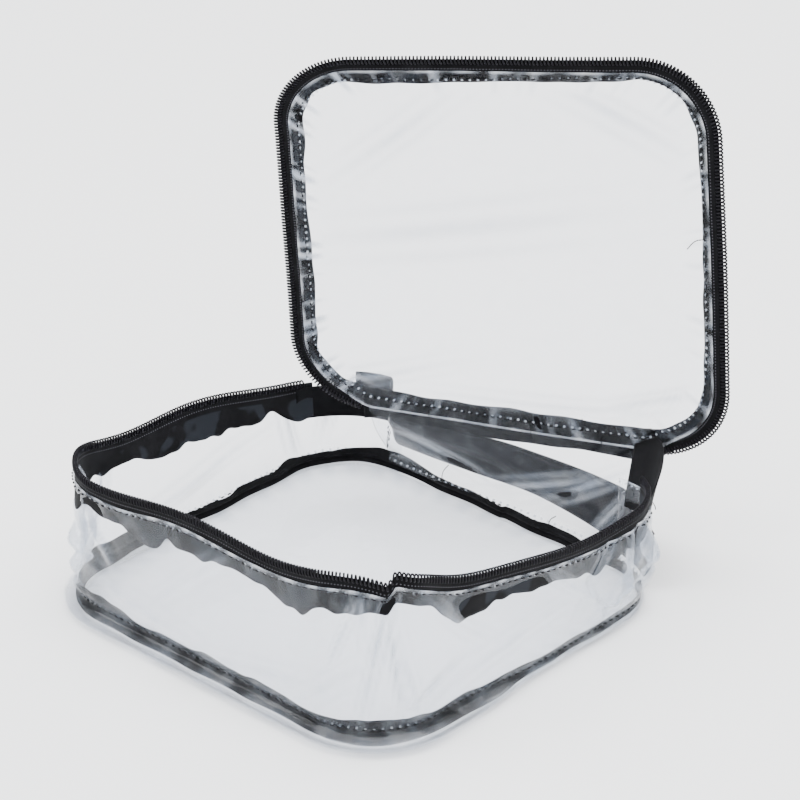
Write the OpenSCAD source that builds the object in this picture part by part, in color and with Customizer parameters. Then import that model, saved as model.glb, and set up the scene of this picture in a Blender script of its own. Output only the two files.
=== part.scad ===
// Clear zippered makeup bag with its lid standing open.
// Origin: centre of the footprint, on the surface that the bag rests on. X runs along the hinge,
// -Y is the front, +Z is up. All sizes are in millimetres.

/* [Bag] */
// Outside width, along the hinge
bag_w = 180; // [140:1:230]
// Outside depth, hinge wall to front wall
bag_d = 172; // [130:1:220]
// Outside radius of the upright corners
corner_r = 33; // [24:1:42]
// Height of the zipper line above the table at the middle of the front wall
front_h = 62.5; // [50:0.5:80]
// Height of the zipper line above the table at the middle of the hinge wall
hinge_h = 42; // [36:0.5:50]
// How much higher the zipper line stands at the right side than at the left
side_rise = 12; // [0:0.5:14]
// Thickness of the clear vinyl sheet
vinyl_t = 0.5; // [0.3:0.1:0.8]

/* [Open lid] */
// How far the open lid is swung round, seen from above
lid_yaw = 26; // [0:1:28]
// How far the open lid leans back from upright; below zero it leans forward
lid_lean = -4; // [-8:1:20]

/* [Zipper] */
// Width of one zipper tape, tooth edge to free edge
tape_w = 16; // [14:0.5:20]
// Thickness of the zipper tape and the binding tapes
tape_t = 0.5; // [0.4:0.1:0.8]
// Width of one coil half, across the chain
coil_w = 3.8; // [3:0.1:4.5]
// Thickness of the coil, face to face
coil_t = 2.4; // [2:0.1:3]
// Strip of bare tape and coil that shows past the vinyl's sewn edge
bare_w = 6.5; // [5.5:0.1:9]
// Gap between the lid's coil and the wall's coil when the lid is shut
shut_gap = 0.3; // [0.3:0.1:1]
// Half length of the hinge, between the two ends of the zipper
hinge_half = 58; // [40:1:62]

/* [Tapes and seams] */
// Height of the tape that binds the bottom seam, up the wall
base_tape_h = 10; // [6:0.5:12]
// Width of the same tape, across the floor
base_tape_w = 5; // [3:0.5:10]
// Width of the binding on the lid's hinge edge
hinge_tape_w = 12; // [8:0.5:16]
// Width of the webbing band across the back wall
band_w = 19; // [12:1:20]
// Thickness of the webbing band
band_t = 1; // [0.8:0.1:1.6]
// Overlap of the side strip on the back panel
lap_w = 9; // [6:0.5:12]
// Distance from one stitch to the next
stitch_pitch = 3.5; // [2.5:0.1:5]
// Length of a stitch that shows
stitch_l = 2.5; // [1.5:0.1:3.5]
// Thickness of the thread
thread_t = 0.4; // [0.3:0.1:0.6]

/* [Slider] */
// Length of the slider along the chain
slider_l = 9; // [7:0.5:12]
// Thickness of the slider's plates
slider_plate_t = 1; // [0.8:0.1:1.4]
// Running clearance between the slider and the coil
slider_gap = 0.25; // [0.2:0.05:0.4]
// Length of the pull tab past its eye
pull_l = 23; // [14:1:34]
// Width of the pull tab
pull_w = 5.2; // [4.4:0.1:7]
// Thickness of the pull tab
pull_t = 1.2; // [0.8:0.1:1.6]

/* [Hidden] */
$fn = 96;

big = 600;
side_tilt = atan(side_rise / bag_w);
rim_tilt = atan((front_h - hinge_h) / bag_d * cos(side_tilt));
rim_skew = sin(rim_tilt) * sin(side_tilt) / 2 * 180 / PI;
lid_w = bag_w / cos(side_tilt);
lid_d = bag_d / cos(rim_tilt);
tape_mid = vinyl_t + tape_t / 2;
coil_out = tape_mid - coil_t / 2;
bridge_root = 0.1;
wall_drop = 4.5;
stitch_in = 1.7;
base_stitch_h = 4;
// The left zipper end stops short of the corner, and the right one runs round it
left_end_y = bag_d / 2 - 0.8 * corner_r;
right_end_x = bag_w / 2 - 0.55 * corner_r;
tab_end_x = bag_w / 2 - corner_r;
seam_x = bag_w / 2 - 0.73 * corner_r;
// How far round the back corners the zipper's and the base's stitches run, in degrees
left_stitch_turn = 8;
right_stitch_turn = 56;
lap_turn = 62;
band_z = 13;
band_end_y = bag_d / 2 - 0.5 * corner_r;
lid_tape_z = shut_gap + coil_t / 2 - tape_t / 2;
lid_vinyl_z = lid_tape_z - vinyl_t;
lid_vinyl_in = coil_out + bare_w;
hinge_edge_in = 2;
slider_turn = 82;
slider_x = corner_r - coil_out - coil_w / 2;
slider_in = 3;
slider_out = 5.2;
post_x = coil_w / 2 + slider_gap;
bridge_w = 1.6;
bridge_l = 7.2;
bridge_h = 2.7;
bridge_bar = 0.8;
bridge_leg = 1.3;
pull_gap = 0.35;
pull_arm_w = 1.2;
pull_eye_l = 5;
pull_pin_r = 0.6;
slider_top = shut_gap + coil_t + slider_gap + slider_plate_t;
pull_z = slider_top + (bridge_h - bridge_bar) / 2;

vinyl = [0.86, 0.9, 0.95, 0.35];
black_tape = [0.06, 0.06, 0.07];
black_nylon = [0.03, 0.03, 0.035];
black_thread = [0.02, 0.02, 0.02];
black_metal = [0.08, 0.08, 0.09];

// Height of the zipper line above the table at a given place
function rim_z(x, y) = hinge_h + x * side_rise / bag_w - (y - bag_d / 2) * (front_h - hinge_h) / bag_d;

module rounded_outline(w, d, r) {
    square([w - 2 * r, d], center = true);
    square([w, d - 2 * r], center = true);
    for (sx = [-1, 1], sy = [-1, 1]) translate([sx * (w / 2 - r), sy * (d / 2 - r)]) circle(r);
}

module wall_outline(inset) rounded_outline(bag_w - 2 * inset, bag_d - 2 * inset, corner_r - inset);

// A band that stands up round the wall, between two insets from its outside face
module wall_layer(outer, inner, z, h) {
    translate([0, 0, z]) linear_extrude(h) difference() {
        wall_outline(outer);
        wall_outline(inner);
    }
}

// The sloping plane of the closed zipper line, high at the front and the right; its origin is the
// hinge's middle and -Y runs to the front
module rim_frame() translate([0, bag_d / 2, hinge_h]) rotate([0, -side_tilt, 0])
    rotate([-rim_tilt, 0, 0]) rotate([0, 0, rim_skew]) children();

// The lid where it stands open
module open_lid() {
    translate([0, bag_d / 2, hinge_h]) rotate([0, 0, lid_yaw]) rotate([-(90 + lid_lean), 0, 0])
        children();
}

// Keeps what lies between two depths below the zipper line
module below_rim(top, bottom) {
    intersection() {
        children();
        rim_frame() translate([-big / 2, -big / 2, -bottom]) cube([big, big, bottom - top]);
    }
}

// Keeps what lies lower than a depth below the zipper line
module under_rim(top) below_rim(top, big / 2) children();

// Carries a flat profile round a rounded rectangle; x of the profile is outward, y is up. The straight
// runs reach into the corners by the overrun, so that they join
module round_ring(w, d, r, overrun) {
    for (k = [0:3]) {
        reach = (k % 2 == 0 ? w : d) / 2;
        run = (k % 2 == 0 ? d : w) - 2 * r;
        rotate([0, 0, 90 * k]) {
            translate([reach, run / 2 + overrun, 0]) rotate([90, 0, 0])
                linear_extrude(run + 2 * overrun) children();
            translate([reach - r, run / 2, 0]) rotate_extrude(angle = 90) translate([r, 0]) children();
        }
    }
}

// A bar with round ends, standing up: its width is t and its height h, with its top at y = 0
module obround(t, h) {
    translate([-t / 2, -h + t / 2]) square([t, h - t]);
    for (y = [-t / 2, -h + t / 2]) translate([0, y]) circle(t / 2, $fn = 24);
}

module behind(y) translate([-big / 2, y, -big / 2]) cube([big, big, big]);

// What the zipper leaves out at the hinge wall, on the wall's side
module zipper_opening() {
    translate([-big, left_end_y, -big / 2]) cube([big, big, big]);
    translate([-1, 0, -big / 2]) cube([right_end_x + 1, big, big]);
}

// ---------- body: base ----------

module base_panel() color(vinyl) linear_extrude(vinyl_t) wall_outline(vinyl_t);

module wall_panel() color(vinyl) {
    under_rim(bare_w) difference() {
        wall_layer(0, vinyl_t, 0, 2 * front_h);
        translate([-seam_x, 0, -1]) cube([2 * seam_x, big, big]);
    }
    under_rim(bare_w) intersection() {
        wall_layer(-vinyl_t, 0, 0, 2 * front_h);
        for (s = [-1, 1]) translate([s * (seam_x - lap_w / 2 + 1) - lap_w / 2 - 0.5, 0, -1])
            cube([lap_w + 1, big, big]);
    }
}

module back_panel() color(vinyl) under_rim(wall_drop) intersection() {
    wall_layer(0, vinyl_t, 0, 2 * front_h);
    translate([-seam_x, 0, -1]) cube([2 * seam_x, big, big]);
}

module base_binding() color(black_tape) {
    wall_layer(vinyl_t, vinyl_t + tape_t, vinyl_t, base_tape_h);
    wall_layer(vinyl_t, vinyl_t + base_tape_w, vinyl_t, tape_t);
}

module wall_zip_tape() color(black_tape) below_rim(coil_w, tape_w) difference() {
    wall_layer(vinyl_t, vinyl_t + tape_t, 0, 2 * front_h);
    zipper_opening();
}

module wall_zip_coil() color(black_nylon) difference() {
    rim_frame() translate([0, -lid_d / 2, 0])
        round_ring(lid_w - 2 * tape_mid, lid_d - 2 * tape_mid, corner_r - tape_mid, 0.01)
            obround(coil_t, coil_w);
    zipper_opening();
}

// Fabric that closes the zipper's end; side is -1 on the left and 1 on the right
module zip_end_tab(side) color(black_tape) below_rim(wall_drop, tape_w + 2) intersection() {
    wall_layer(vinyl_t, vinyl_t + tape_t, 0, 2 * front_h);
    if (side < 0) translate([-big - tab_end_x, left_end_y, 0]) cube(big);
    if (side > 0) translate([tab_end_x, 0, 0]) cube([right_end_x - tab_end_x, big, big]);
}

module zip_end_tab_left() zip_end_tab(-1);

module zip_end_tab_right() zip_end_tab(1);

module back_band() color(black_tape) intersection() {
    wall_layer(-vinyl_t - band_t, -vinyl_t, band_z, band_w);
    behind(band_end_y);
}

// Stitches along the straight walls: places run from -half to half at the stitch pitch
function stitch_places(half) = [for (i = [0 : floor(2 * half / stitch_pitch) - 1])
    (i + 0.5) * stitch_pitch - floor(2 * half / stitch_pitch) * stitch_pitch / 2];

// Turns for the stitches round one corner of radius r, in degrees from its first side
function stitch_turns(r) = let (n = floor(PI / 2 * r / stitch_pitch))
    [for (i = [0 : n - 1]) (i + 0.5) * 90 / n];

module straight_stitch(slope = 0) rotate([slope, 0, 0])
    translate([0, -stitch_l / 2, -thread_t / 2]) cube([thread_t, stitch_l, thread_t]);

module corner_stitch(r) {
    turn = stitch_l / r * 180 / PI;
    rotate([0, 0, -turn / 2]) rotate_extrude(angle = turn)
        translate([r, -thread_t / 2]) square([thread_t, thread_t]);
}

// A stitch on the wall's outside face at one corner, turned by a from that corner's side wall
module wall_corner_stitch(sx, sy, a, z) {
    translate([sx * (bag_w / 2 - corner_r), sy * (bag_d / 2 - corner_r), z])
        rotate([0, 0, sx > 0 ? sy * a : 180 - sy * a]) corner_stitch(corner_r);
}

module wall_zip_stitches() color(black_thread) {
    depth = bare_w + stitch_in;
    for (s = [-1, 1]) for (y = stitch_places(bag_d / 2 - corner_r))
        translate([s * bag_w / 2, y, rim_z(s * bag_w / 2, y) - depth]) mirror([s < 0 ? 1 : 0, 0, 0])
            straight_stitch(-rim_tilt);
    for (x = stitch_places(bag_w / 2 - corner_r))
        translate([x, -bag_d / 2, rim_z(x, -bag_d / 2) - depth]) rotate([0, 0, -90])
            straight_stitch(side_tilt);
    for (sx = [-1, 1], sy = [-1, 1]) for (a = stitch_turns(corner_r))
        if (sy < 0 || a < (sx < 0 ? left_stitch_turn : right_stitch_turn))
            wall_corner_stitch(sx, sy, a, rim_z(sx * (bag_w / 2 - corner_r + corner_r * cos(a)),
                sy * (bag_d / 2 - corner_r + corner_r * sin(a))) - depth);
}

module base_stitches() color(black_thread) translate([0, 0, base_stitch_h]) {
    for (s = [-1, 1]) for (y = stitch_places(bag_d / 2 - corner_r))
        translate([s * bag_w / 2, y, 0]) mirror([s < 0 ? 1 : 0, 0, 0]) straight_stitch();
    for (x = stitch_places(bag_w / 2 - corner_r)) {
        translate([x, -bag_d / 2, 0]) rotate([0, 0, -90]) straight_stitch();
        if (abs(x) < seam_x - lap_w - stitch_l)
            translate([x, bag_d / 2, 0]) rotate([0, 0, 90]) straight_stitch();
    }
    for (sx = [-1, 1], sy = [-1, 1]) for (a = stitch_turns(corner_r))
        if (sy < 0 || a < lap_turn) wall_corner_stitch(sx, sy, a, 0);
}

// One upright row through the lap: outside below the band, inside between the two tapes
module corner_seam_stitches(side) color(black_thread) {
    r = corner_r + vinyl_t;
    seam_turn = acos((seam_x - lap_w / 2 - (bag_w / 2 - corner_r)) / r);
    inner_top = rim_z(side * seam_x, bag_d / 2) - tape_w - 2 - stitch_l;
    translate([side * (bag_w / 2 - corner_r), bag_d / 2 - corner_r, 0])
        rotate([0, 0, side > 0 ? seam_turn : 180 - seam_turn]) {
            for (z = [base_stitch_h : stitch_pitch : band_z - stitch_l / 2])
                translate([r, 0, z]) upright_stitch();
            for (z = [base_tape_h + stitch_l : stitch_pitch : inner_top])
                translate([corner_r - vinyl_t - thread_t, 0, z]) upright_stitch();
        }
}

module upright_stitch() translate([0, -thread_t / 2, -stitch_l / 2])
    cube([thread_t, thread_t, stitch_l]);

module corner_seam_stitches_left() corner_seam_stitches(-1);

module corner_seam_stitches_right() corner_seam_stitches(1);

// Close rows of thread that hold the webbing band at its two ends
module band_bartacks() color(black_thread) {
    r = corner_r + vinyl_t + band_t;
    for (s = [-1, 1]) for (z = [band_z + 2 : 1.5 : band_z + band_w - 2]) for (a = [38, 44])
        translate([s * (bag_w / 2 - corner_r), bag_d / 2 - corner_r, z])
            rotate([0, 0, s > 0 ? a : 180 - a]) corner_stitch(r);
}

// ---------- body: lid ----------

module lid_outline(inset) translate([0, -lid_d / 2])
    rounded_outline(lid_w - 2 * inset, lid_d - 2 * inset, corner_r - inset);

module hinge_gap(half) translate([-half, -lid_d / 4, -big / 2]) cube([2 * half, lid_d, big]);

module lid_panel() color(vinyl) open_lid() translate([0, 0, lid_vinyl_z]) linear_extrude(vinyl_t) {
    lid_outline(lid_vinyl_in);
    translate([-hinge_half + 1, -corner_r]) square([2 * hinge_half - 2, corner_r - hinge_edge_in]);
}

module lid_zip_tape() color(black_tape) open_lid() difference() {
    translate([0, 0, lid_tape_z]) linear_extrude(tape_t) difference() {
        lid_outline(coil_out + coil_w);
        lid_outline(coil_out + tape_w);
    }
    hinge_gap(hinge_half);
}

module lid_zip_coil() color(black_nylon) open_lid() difference() {
    translate([0, -lid_d / 2, shut_gap + coil_t / 2])
        round_ring(lid_w - 2 * coil_out, lid_d - 2 * coil_out, corner_r - coil_out, 0.005)
            rotate(-90) obround(coil_t, coil_w);
    hinge_gap(hinge_half);
}

module hinge_binding() color(black_tape) open_lid()
    translate([-hinge_half, -hinge_tape_w, lid_tape_z])
        cube([2 * hinge_half, hinge_tape_w, tape_t]);

module lid_stitch_row(inset) {
    w = lid_w / 2 - inset;
    d = lid_d / 2 - inset;
    r = corner_r - inset;
    for (s = [-1, 1]) for (y = stitch_places(d - r))
        translate([s * w, y, 0]) mirror([s < 0 ? 1 : 0, 0, 0]) straight_stitch();
    for (x = stitch_places(w - r)) translate([x, -d, 0]) rotate([0, 0, -90]) straight_stitch();
    for (sx = [-1, 1], sy = [-1, 1]) for (a = stitch_turns(r))
        translate([sx * (w - r), sy * (d - r), 0])
            rotate([0, 0, sx > 0 ? sy * a : 180 - sy * a]) corner_stitch(r);
}

module lid_zip_stitches() color(black_thread) open_lid()
    translate([0, -lid_d / 2, lid_vinyl_z - thread_t / 2])
        lid_stitch_row(lid_vinyl_in + stitch_in);

module hinge_stitches() color(black_thread) open_lid()
    for (x = stitch_places(hinge_half - stitch_pitch))
        translate([x, -lid_vinyl_in - stitch_in, lid_vinyl_z - thread_t / 2])
            rotate([0, 0, -90]) straight_stitch();

// ---------- bodies: slider and pull ----------

// The slider's place on the lid's coil: x outward, y along the chain towards the hinge's middle
module on_chain() open_lid()
    translate([lid_w / 2 - corner_r, -corner_r, 0]) rotate([0, 0, slider_turn])
        translate([slider_x, 0, 0]) children();

module slider_plate() {
    nose = slider_l / 4;
    linear_extrude(slider_plate_t) polygon([
        [-slider_in, -slider_l / 2], [slider_out - 1, -slider_l / 2], [slider_out, 0],
        [slider_out - 2, slider_l / 2], [-slider_in + 1, slider_l / 2], [-slider_in, nose]
    ]);
}

module slider_body() color(black_metal) on_chain() {
    translate([0, 0, shut_gap - slider_gap - slider_plate_t]) slider_plate();
    translate([0, 0, slider_top - slider_plate_t]) slider_plate();
    translate([post_x, -slider_l / 4, shut_gap - slider_gap - slider_plate_t])
        cube([1.7, slider_l / 2, slider_top - shut_gap + slider_gap + slider_plate_t]);
    difference() {
        translate([-bridge_w / 2, -bridge_l / 2, slider_top - bridge_root])
            cube([bridge_w, bridge_l, bridge_h + bridge_root]);
        translate([-bridge_w, -bridge_l / 2 + bridge_leg, slider_top])
            cube([2 * bridge_w, bridge_l - 2 * bridge_leg, bridge_h - bridge_bar]);
    }
}

module pull_tab() color(black_metal) on_chain() translate([0, 0, pull_z]) {
    arm_x = bridge_w / 2 + pull_gap;
    rotate([0, 90, 0]) translate([0, 0, -arm_x - pull_arm_w])
        cylinder(r = pull_pin_r, h = 2 * (arm_x + pull_arm_w), $fn = 32);
    for (s = [-1, 1]) translate([s > 0 ? arm_x : -arm_x - pull_arm_w, 0, -pull_t / 2])
        cube([pull_arm_w, pull_eye_l, pull_t]);
    translate([0, 0, -pull_t / 2]) linear_extrude(pull_t) difference() {
        union() {
            translate([-pull_w / 2, pull_eye_l - 0.5])
                square([pull_w, pull_l - pull_w / 2 - pull_eye_l + 0.5]);
            translate([0, pull_l - pull_w / 2]) circle(pull_w / 2);
        }
        translate([0, pull_l - pull_w / 2]) circle(pull_w / 5);
    }
}

base_panel();
wall_panel();
back_panel();
base_binding();
wall_zip_tape();
wall_zip_coil();
zip_end_tab_left();
zip_end_tab_right();
back_band();
wall_zip_stitches();
base_stitches();
corner_seam_stitches_left();
corner_seam_stitches_right();
band_bartacks();
lid_panel();
lid_zip_tape();
lid_zip_coil();
hinge_binding();
lid_zip_stitches();
hinge_stitches();
slider_body();
pull_tab();
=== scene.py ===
import math

import bpy
import numpy as np
from mathutils import Matrix, Vector


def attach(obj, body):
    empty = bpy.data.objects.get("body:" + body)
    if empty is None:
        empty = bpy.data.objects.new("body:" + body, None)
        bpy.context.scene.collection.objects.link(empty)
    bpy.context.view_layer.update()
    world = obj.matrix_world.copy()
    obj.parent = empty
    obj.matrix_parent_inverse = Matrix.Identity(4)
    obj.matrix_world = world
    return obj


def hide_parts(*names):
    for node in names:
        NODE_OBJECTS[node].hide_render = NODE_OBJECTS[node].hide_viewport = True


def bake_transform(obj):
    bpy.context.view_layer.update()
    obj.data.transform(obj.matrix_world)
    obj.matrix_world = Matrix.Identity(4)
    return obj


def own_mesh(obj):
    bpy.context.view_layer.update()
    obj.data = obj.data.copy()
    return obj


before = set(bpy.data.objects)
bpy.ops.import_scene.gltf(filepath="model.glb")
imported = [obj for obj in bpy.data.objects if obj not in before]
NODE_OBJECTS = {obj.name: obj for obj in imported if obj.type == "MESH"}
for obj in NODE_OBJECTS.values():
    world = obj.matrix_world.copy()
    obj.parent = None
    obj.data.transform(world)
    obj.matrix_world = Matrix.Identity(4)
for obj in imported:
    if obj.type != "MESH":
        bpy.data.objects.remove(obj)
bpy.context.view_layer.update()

bl_info = {
    "name": "Clear makeup bag",
    "version": (1, 0, 0),
    "blender": (4, 2, 0),
    "location": "View3D > Sidebar > Makeup Bag",
    "description": "Builds a clear zippered makeup bag with its lid standing open",
    "category": "Object",
}

# Places are in metres; s is the distance round the bag or the lid from the middle of its front
RIGHT_SEAM = 0.2622  # where the upright seams stand, left and right alike
LEFT_END = -0.2225  # the two ends of the wall's zipper
RIGHT_END = 0.2512
LID_END = 0.2634  # where the lid's zipper ends, left and right alike
WALL_TALL = 0.055  # usual height of the side wall, for its creases
BACK_TALL = 0.042  # height of the back wall
FOOT_HALF = 0.0614  # half the back wall's width at its foot and at its head
HEAD_HALF = 0.058
BAND_LOW = 0.013  # height of the webbing band's lower edge
BACK_BEND = ((0, 0.086, 0.004), (0, 0.086, 0.040))  # two points passed as the back wall's bend; nothing bends along them
COIL_WIRE_R = 0.00038  # radius of the nylon that the coil is wound from
COIL_STEPS = 14  # rings in one turn of the coil
STITCH_SHARE = 0.60  # share of the stitch pitch that thread covers
CORNER_PITCH = 0.0028  # stitch pitch of the upright seams
NEARLY_ALL = 0.99999  # keeps the last point of a closed outline short of the first
FLOOR_HALF = 6  # half the floor's width
LAMPS = (("top", (0.1, 0.1, 2.6), 120.0, 2.6), ("key", (-0.9, -1.1, 1.7), 30.0, 1.2),
         ("fill", (1.3, -0.7, 1.0), 9.0, 1.4), ("rim", (0.3, 1.4, 1.2), 14.0, 1.2))


# ---------- sizes and colours ----------

def length(text, about, default):
    """A property that holds a length in metres."""
    return bpy.props.FloatProperty(name=text, description=about, default=default, min=0.0, unit="LENGTH",
                                   precision=5)


def colour(text, about, default):
    """A property that holds a colour."""
    return bpy.props.FloatVectorProperty(name=text, description=about, default=default, size=3, min=0.0,
                                         max=1.0, subtype="COLOR")


class BagSizes(bpy.types.PropertyGroup):
    """Sizes of the bag, its zipper and its seams."""
    bag_w: length("Width", "Outside width along the hinge", 0.180)
    bag_d: length("Depth", "Outside depth, hinge wall to front wall", 0.172)
    corner_r: length("Corner radius", "Outside radius of the upright corners", 0.033)
    front_h: length("Front height", "Height of the zipper line at the middle of the front", 0.0625)
    hinge_h: length("Hinge height", "Height of the zipper line at the middle of the hinge wall", 0.042)
    side_rise: length("Side rise", "How much higher the zipper line is at the right than at the left", 0.012)
    lid_yaw: bpy.props.FloatProperty(name="Lid yaw", description="How far the open lid is swung round",
                                     default=math.radians(26), subtype="ANGLE")
    lid_lean: bpy.props.FloatProperty(name="Lid lean", description="How far the open lid leans back",
                                      default=math.radians(-4), subtype="ANGLE")
    vinyl_t: length("Vinyl", "Thickness of the clear sheet", 0.0005)
    tape_w: length("Tape width", "Width of one zipper tape", 0.016)
    tape_t: length("Tape", "Thickness of the tapes", 0.0005)
    coil_w: length("Coil width", "Width of one coil half across the chain", 0.0038)
    coil_t: length("Coil thickness", "Thickness of the coil, face to face", 0.0024)
    coil_pitch: length("Coil pitch", "Distance from one turn of the coil to the next", 0.0015)
    bare_w: length("Bare tape", "Coil and bare tape that show past the vinyl's edge", 0.0065)
    binding_h: length("Bottom binding", "Height of the tape inside the bottom seam", 0.010)
    band_w: length("Band width", "Width of the webbing band on the back", 0.019)
    stitch_pitch: length("Stitch pitch", "Distance from one stitch to the next", 0.0034)
    thread_r: length("Thread radius", "Radius of the sewing thread", 0.00032)


class BagColours(bpy.types.PropertyGroup):
    """Colours of the bag's materials."""
    vinyl: colour("Vinyl", "Tint of the clear sheet", (0.972, 0.978, 0.99))
    # This grey-blue is painted shade on the vinyl's folds, where it is mixed with white painted highlight; at
    # the cut edges and needle holes it gives their hazy tint.
    haze_and_fold_shade: colour("Haze", "Colour of the sheet's folds and cut edges", (0.50, 0.57, 0.68))
    tape: colour("Tape", "Colour of the zipper and binding tapes", (0.0020, 0.0020, 0.0026))
    coil: colour("Coil", "Colour of the zipper's coil", (0.0035, 0.0032, 0.0048))
    thread: colour("Thread", "Colour of the sewing thread", (0.003, 0.003, 0.004))
    webbing: colour("Webbing", "Colour of the band on the back", (0.006, 0.006, 0.0075))
    metal: colour("Slider", "Colour of the slider and its pull", (0.007, 0.007, 0.008))
    floor: colour("Floor", "Colour of the floor", (0.93, 0.935, 0.94))


def sizes():
    """The scene's bag sizes."""
    return bpy.context.scene.bag_sizes


def colours():
    """The scene's bag colours."""
    return bpy.context.scene.bag_colours


# ---------- shapes as arrays ----------

def turn(axis, angle):
    """The matrix that turns by an angle about X, Y or Z."""
    return np.array(Matrix.Rotation(angle, 3, axis))


def smooth(a, b, x):
    """0 below a, 1 above b, and a cubic ease between."""
    t = np.clip((x - a) / (b - a), 0, 1)
    return t * t * (3 - 2 * t)


def bell(x, width):
    """A bell curve of height 1."""
    return np.exp(-(x / width) ** 2)


def ripple(x, terms):
    """A sum of sines, each with a wavelength, a phase and a height."""
    return sum(h * np.sin(2 * math.pi * x / w + p) for w, p, h in terms)


def uneven_sine(x, fast, sway, slow):
    """A sine whose beat is uneven: its phase sways with a slower sine."""
    return np.sin(x * fast + sway * np.sin(x * slow))


def grid(start, end, rows, cols):
    """Two parameters on a grid: the first from start to end, the second from 0 to 1."""
    return np.meshgrid(np.linspace(start, end, rows), np.linspace(0, 1, cols), indexing="ij")


def outline(s, w, d, r):
    """Walks round a rounded rectangle, from the middle of its front, towards +X for a positive s.
    Straight runs and quarter circles follow each other, so a point is found by its distance s."""
    a, b, q = w / 2 - r, d - 2 * r, math.pi / 2 * r
    ends = np.cumsum([0, a, q, b, q, a])
    t = np.abs(s)
    k = np.clip(np.searchsorted(ends, t, side="right") - 1, 0, 4)
    u = t - ends[k]
    turned = np.select([k == 0, k == 1, k == 2, k == 3],
                       [0 * u, u / r, 0 * u + math.pi / 2, math.pi / 2 + u / r], math.pi)
    nx, ny = np.sin(turned), -np.cos(turned)
    cx = np.select([k == 0, k == 4], [u, a - u], a)
    cy = np.select([k <= 1, k == 2], [-b / 2 + 0 * u, u - b / 2], b / 2)
    x = cx + r * nx * (k != 0) * (k != 4)
    y = cy + r * ny
    side = np.where(s < 0, -1.0, 1.0)
    return x * side, y, nx * side, ny


def girth(w, d, r):
    """Length round a rounded rectangle."""
    return 2 * (w - 2 * r) + 2 * (d - 2 * r) + 2 * math.pi * r


def rim_height(x, y):
    """Height of the sloping zipper line: it falls from front to back and from right to left."""
    p = sizes()
    return p.hinge_h + x * p.side_rise / p.bag_w - (y - p.bag_d / 2) * (p.front_h - p.hinge_h) / p.bag_d


# Creases pressed into the side wall and the back wall: distance along the wall, height share, slope,
# length, width and depth
WALL_CREASES = np.array([
    (0.084, 0.62, 1.3, 0.022, 0.0022, -0.0042), (0.078, 0.80, 1.45, 0.012, 0.0015, 0.0020),
    (0.096, 0.35, 1.9, 0.014, 0.0030, 0.0024), (0.060, 0.30, 0.5, 0.020, 0.0035, -0.0022),
    (0.108, 0.30, 0.35, 0.018, 0.0028, -0.0026), (-0.090, 0.55, 1.7, 0.026, 0.0030, -0.0048),
    (-0.080, 0.35, 2.3, 0.018, 0.0028, 0.0036), (-0.100, 0.40, 1.1, 0.020, 0.0032, 0.0040),
    (-0.068, 0.62, 0.9, 0.020, 0.0040, -0.0030), (-0.112, 0.66, 1.8, 0.016, 0.0030, 0.0026),
    (0.030, 0.25, 0.15, 0.030, 0.0040, -0.0016), (-0.030, 0.30, -0.12, 0.034, 0.0044, 0.0016),
    (0.215, 0.60, 1.2, 0.016, 0.0024, -0.0040), (0.228, 0.55, 1.9, 0.014, 0.0022, 0.0044),
    (0.205, 0.40, 0.7, 0.018, 0.0028, 0.0034), (0.236, 0.72, 1.5, 0.012, 0.0020, -0.0034),
    (0.222, 0.30, 2.4, 0.014, 0.0026, -0.0030), (0.195, 0.68, 1.0, 0.016, 0.0024, -0.0026),
    (-0.215, 0.45, 1.4, 0.020, 0.0030, -0.0030), (-0.235, 0.60, 1.8, 0.014, 0.0026, 0.0028),
    (0.150, 0.40, 0.2, 0.030, 0.0040, 0.0018), (-0.160, 0.35, -0.25, 0.034, 0.0040, -0.0018),
    (-0.072, 0.50, 1.35, 0.020, 0.0018, -0.0036), (-0.060, 0.70, 2.4, 0.014, 0.0020, 0.0030),
    (-0.086, 0.28, 0.6, 0.012, 0.0022, -0.0034), (-0.106, 0.52, 2.0, 0.016, 0.0020, -0.0036),
    (0.090, 0.50, 1.75, 0.020, 0.0016, -0.0036), (0.071, 0.66, 1.1, 0.012, 0.0016, 0.0030),
    (0.210, 0.50, 1.35, 0.018, 0.0018, 0.0036), (0.199, 0.34, 2.1, 0.014, 0.0020, -0.0034),
    (0.232, 0.44, 0.9, 0.014, 0.0018, -0.0036), (0.186, 0.56, 2.5, 0.020, 0.0024, 0.0026),
    (-0.010, 0.55, 0.6, 0.030, 0.0030, -0.0012), (0.124, 0.62, 2.6, 0.022, 0.0026, 0.0018),
])
BACK_CREASES = np.array([
    (0.035, 0.55, 0.5, 0.024, 0.003, 0.0022), (0.015, 0.45, 0.3, 0.030, 0.003, -0.0018),
    (-0.030, 0.5, -0.4, 0.026, 0.003, 0.0020), (0.048, 0.35, 0.9, 0.014, 0.002, -0.002),
])


def creases(s, h, tall, table):
    """Sum of straight bell-shaped creases on a sheet unrolled to (s, height). Gives the depth at each
    point and how sharply it is folded there, from 0 to 1."""
    depth, fold = np.zeros_like(s), np.zeros_like(s)
    for s0, h0, slope, long, wide, deep in table:
        a, b = s - s0, (h - h0) * tall
        along, across = a * math.cos(slope) + b * math.sin(slope), b * math.cos(slope) - a * math.sin(slope)
        reach = bell(along, long)
        depth += deep * bell(across, wide) * reach
        ridge = bell(across, wide * 0.45) + 0.45 * bell(np.abs(across) - wide * 1.25, wide * 0.35)
        fold = np.maximum(fold, ridge * reach * min(1.0, abs(deep) / 0.004))
    return depth, fold


def rim_bulge(s):
    """How far the soft zipper line stands out past its round outline: at the front corners, which are
    nearly square, and along both sides, which bow outwards."""
    corners = 0.0034 * bell(s - 0.0930, 0.0100) - 0.0022 * bell(s + 0.0830, 0.0200)
    return corners + 0.0038 * bell(s - 0.165, 0.040) + 0.0046 * bell(s + 0.165, 0.042)


def front_share(s):
    """1 round the front of the bag, easing to 0 along its sides."""
    return 1 - smooth(0.12, 0.17, np.abs(s))


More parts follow.
